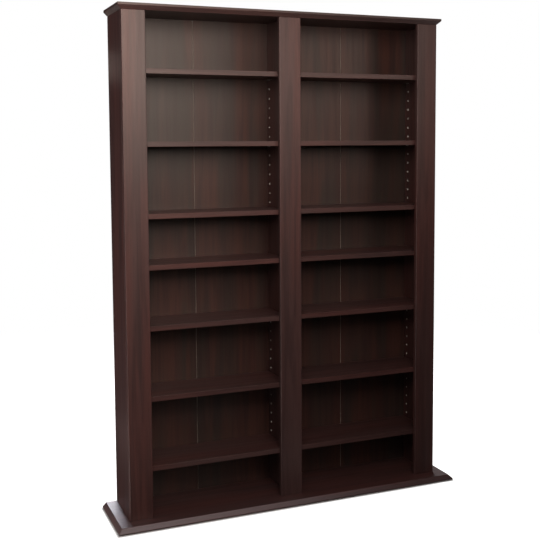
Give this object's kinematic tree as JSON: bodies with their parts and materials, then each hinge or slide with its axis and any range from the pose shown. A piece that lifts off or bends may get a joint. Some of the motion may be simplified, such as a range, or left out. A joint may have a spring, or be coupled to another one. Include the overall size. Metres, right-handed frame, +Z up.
{
  "type": "media storage shelf",
  "caption": "Free-standing dark wood media shelf: columns of loose and fixed shelves behind wide upright stiles, on a bevelled base board, under a bevelled top board.",
  "frame": {"origin": "on the floor, under the middle of the overall box", "axes": "+X to the right seen from the front, -Y out of the open front, +Z up"},
  "size_m": [1.2, 0.2424, 1.6186],
  "materials": {
    "wood_foil": "satin dark red-brown wood-grain foil on chipboard",
    "back_board": "printed dark wood-grain foil on hardboard",
    "screw_steel": "bright zinc plate",
    "dowel_beech": "fluted plain beech",
    "joint_tape": "brown paper-backed tape",
    "glide_plastic": "matt black plastic"
  },
  "bodies": {
    "carcass": {"base_board": "wood_foil", "top_board": "wood_foil", "left_side_panel": "wood_foil", "centre_partition": "wood_foil", "right_side_panel": "wood_foil", "left_stile": "wood_foil", "centre_stile": "wood_foil", "right_stile": "wood_foil", "left_fixed_shelf": "wood_foil", "right_fixed_shelf": "wood_foil", "left_back_outer_leaf": "back_board", "left_back_inner_leaf": "back_board", "right_back_inner_leaf": "back_board", "right_back_outer_leaf": "back_board", "left_back_tape": "joint_tape", "right_back_tape": "joint_tape", "left_base_screw_front": "screw_steel", "left_base_screw_rear": "screw_steel", "centre_base_screw_front": "screw_steel", "centre_base_screw_rear": "screw_steel", "right_base_screw_front": "screw_steel", "right_base_screw_rear": "screw_steel", "left_stile_dowel_lower": "dowel_beech", "left_stile_dowel_upper": "dowel_beech", "centre_stile_dowel_lower": "dowel_beech", "centre_stile_dowel_upper": "dowel_beech", "right_stile_dowel_lower": "dowel_beech", "right_stile_dowel_upper": "dowel_beech", "left_top_dowel_front": "dowel_beech", "left_top_dowel_rear": "dowel_beech", "centre_top_dowel_front": "dowel_beech", "centre_top_dowel_rear": "dowel_beech", "right_top_dowel_front": "dowel_beech", "right_top_dowel_rear": "dowel_beech", "left_fixed_shelf_dowel_front": "dowel_beech", "left_fixed_shelf_dowel_rear": "dowel_beech", "centre_fixed_shelf_dowel_front": "dowel_beech", "centre_fixed_shelf_dowel_rear": "dowel_beech", "right_fixed_shelf_dowel_front": "dowel_beech", "right_fixed_shelf_dowel_rear": "dowel_beech", "left_glide_front": "glide_plastic", "left_glide_rear": "glide_plastic", "centre_glide_front": "glide_plastic", "centre_glide_rear": "glide_plastic", "right_glide_front": "glide_plastic", "right_glide_rear": "glide_plastic"},
    "left_shelf_1": {"left_shelf_1": "wood_foil"},
    "left_shelf_2": {"left_shelf_2": "wood_foil"},
    "left_shelf_3": {"left_shelf_3": "wood_foil"},
    "left_shelf_5": {"left_shelf_5": "wood_foil"},
    "left_shelf_6": {"left_shelf_6": "wood_foil"},
    "left_shelf_7": {"left_shelf_7": "wood_foil"},
    "right_shelf_1": {"right_shelf_1": "wood_foil"},
    "right_shelf_2": {"right_shelf_2": "wood_foil"},
    "right_shelf_3": {"right_shelf_3": "wood_foil"},
    "right_shelf_5": {"right_shelf_5": "wood_foil"},
    "right_shelf_6": {"right_shelf_6": "wood_foil"},
    "right_shelf_7": {"right_shelf_7": "wood_foil"}
  },
  "joints": [
    {"name": "left_shelf_1_lift", "type": "slide", "parent": "carcass", "child": "left_shelf_1", "axis": [0, 0, 1], "range_m": [0, 0.171]},
    {"name": "left_shelf_2_lift", "type": "slide", "parent": "carcass", "child": "left_shelf_2", "axis": [0, 0, 1], "range_m": [0, 0.204]},
    {"name": "left_shelf_3_lift", "type": "slide", "parent": "carcass", "child": "left_shelf_3", "axis": [0, 0, 1], "range_m": [0, 0.204]},
    {"name": "left_shelf_5_lift", "type": "slide", "parent": "carcass", "child": "left_shelf_5", "axis": [0, 0, 1], "range_m": [0, 0.175]},
    {"name": "left_shelf_6_lift", "type": "slide", "parent": "carcass", "child": "left_shelf_6", "axis": [0, 0, 1], "range_m": [0, 0.204]},
    {"name": "left_shelf_7_lift", "type": "slide", "parent": "carcass", "child": "left_shelf_7", "axis": [0, 0, 1], "range_m": [0, 0.204]},
    {"name": "right_shelf_1_lift", "type": "slide", "parent": "carcass", "child": "right_shelf_1", "axis": [0, 0, 1], "range_m": [0, 0.171]},
    {"name": "right_shelf_2_lift", "type": "slide", "parent": "carcass", "child": "right_shelf_2", "axis": [0, 0, 1], "range_m": [0, 0.204]},
    {"name": "right_shelf_3_lift", "type": "slide", "parent": "carcass", "child": "right_shelf_3", "axis": [0, 0, 1], "range_m": [0, 0.204]},
    {"name": "right_shelf_5_lift", "type": "slide", "parent": "carcass", "child": "right_shelf_5", "axis": [0, 0, 1], "range_m": [0, 0.175]},
    {"name": "right_shelf_6_lift", "type": "slide", "parent": "carcass", "child": "right_shelf_6", "axis": [0, 0, 1], "range_m": [0, 0.204]},
    {"name": "right_shelf_7_lift", "type": "slide", "parent": "carcass", "child": "right_shelf_7", "axis": [0, 0, 1], "range_m": [0, 0.204]}
  ]
}
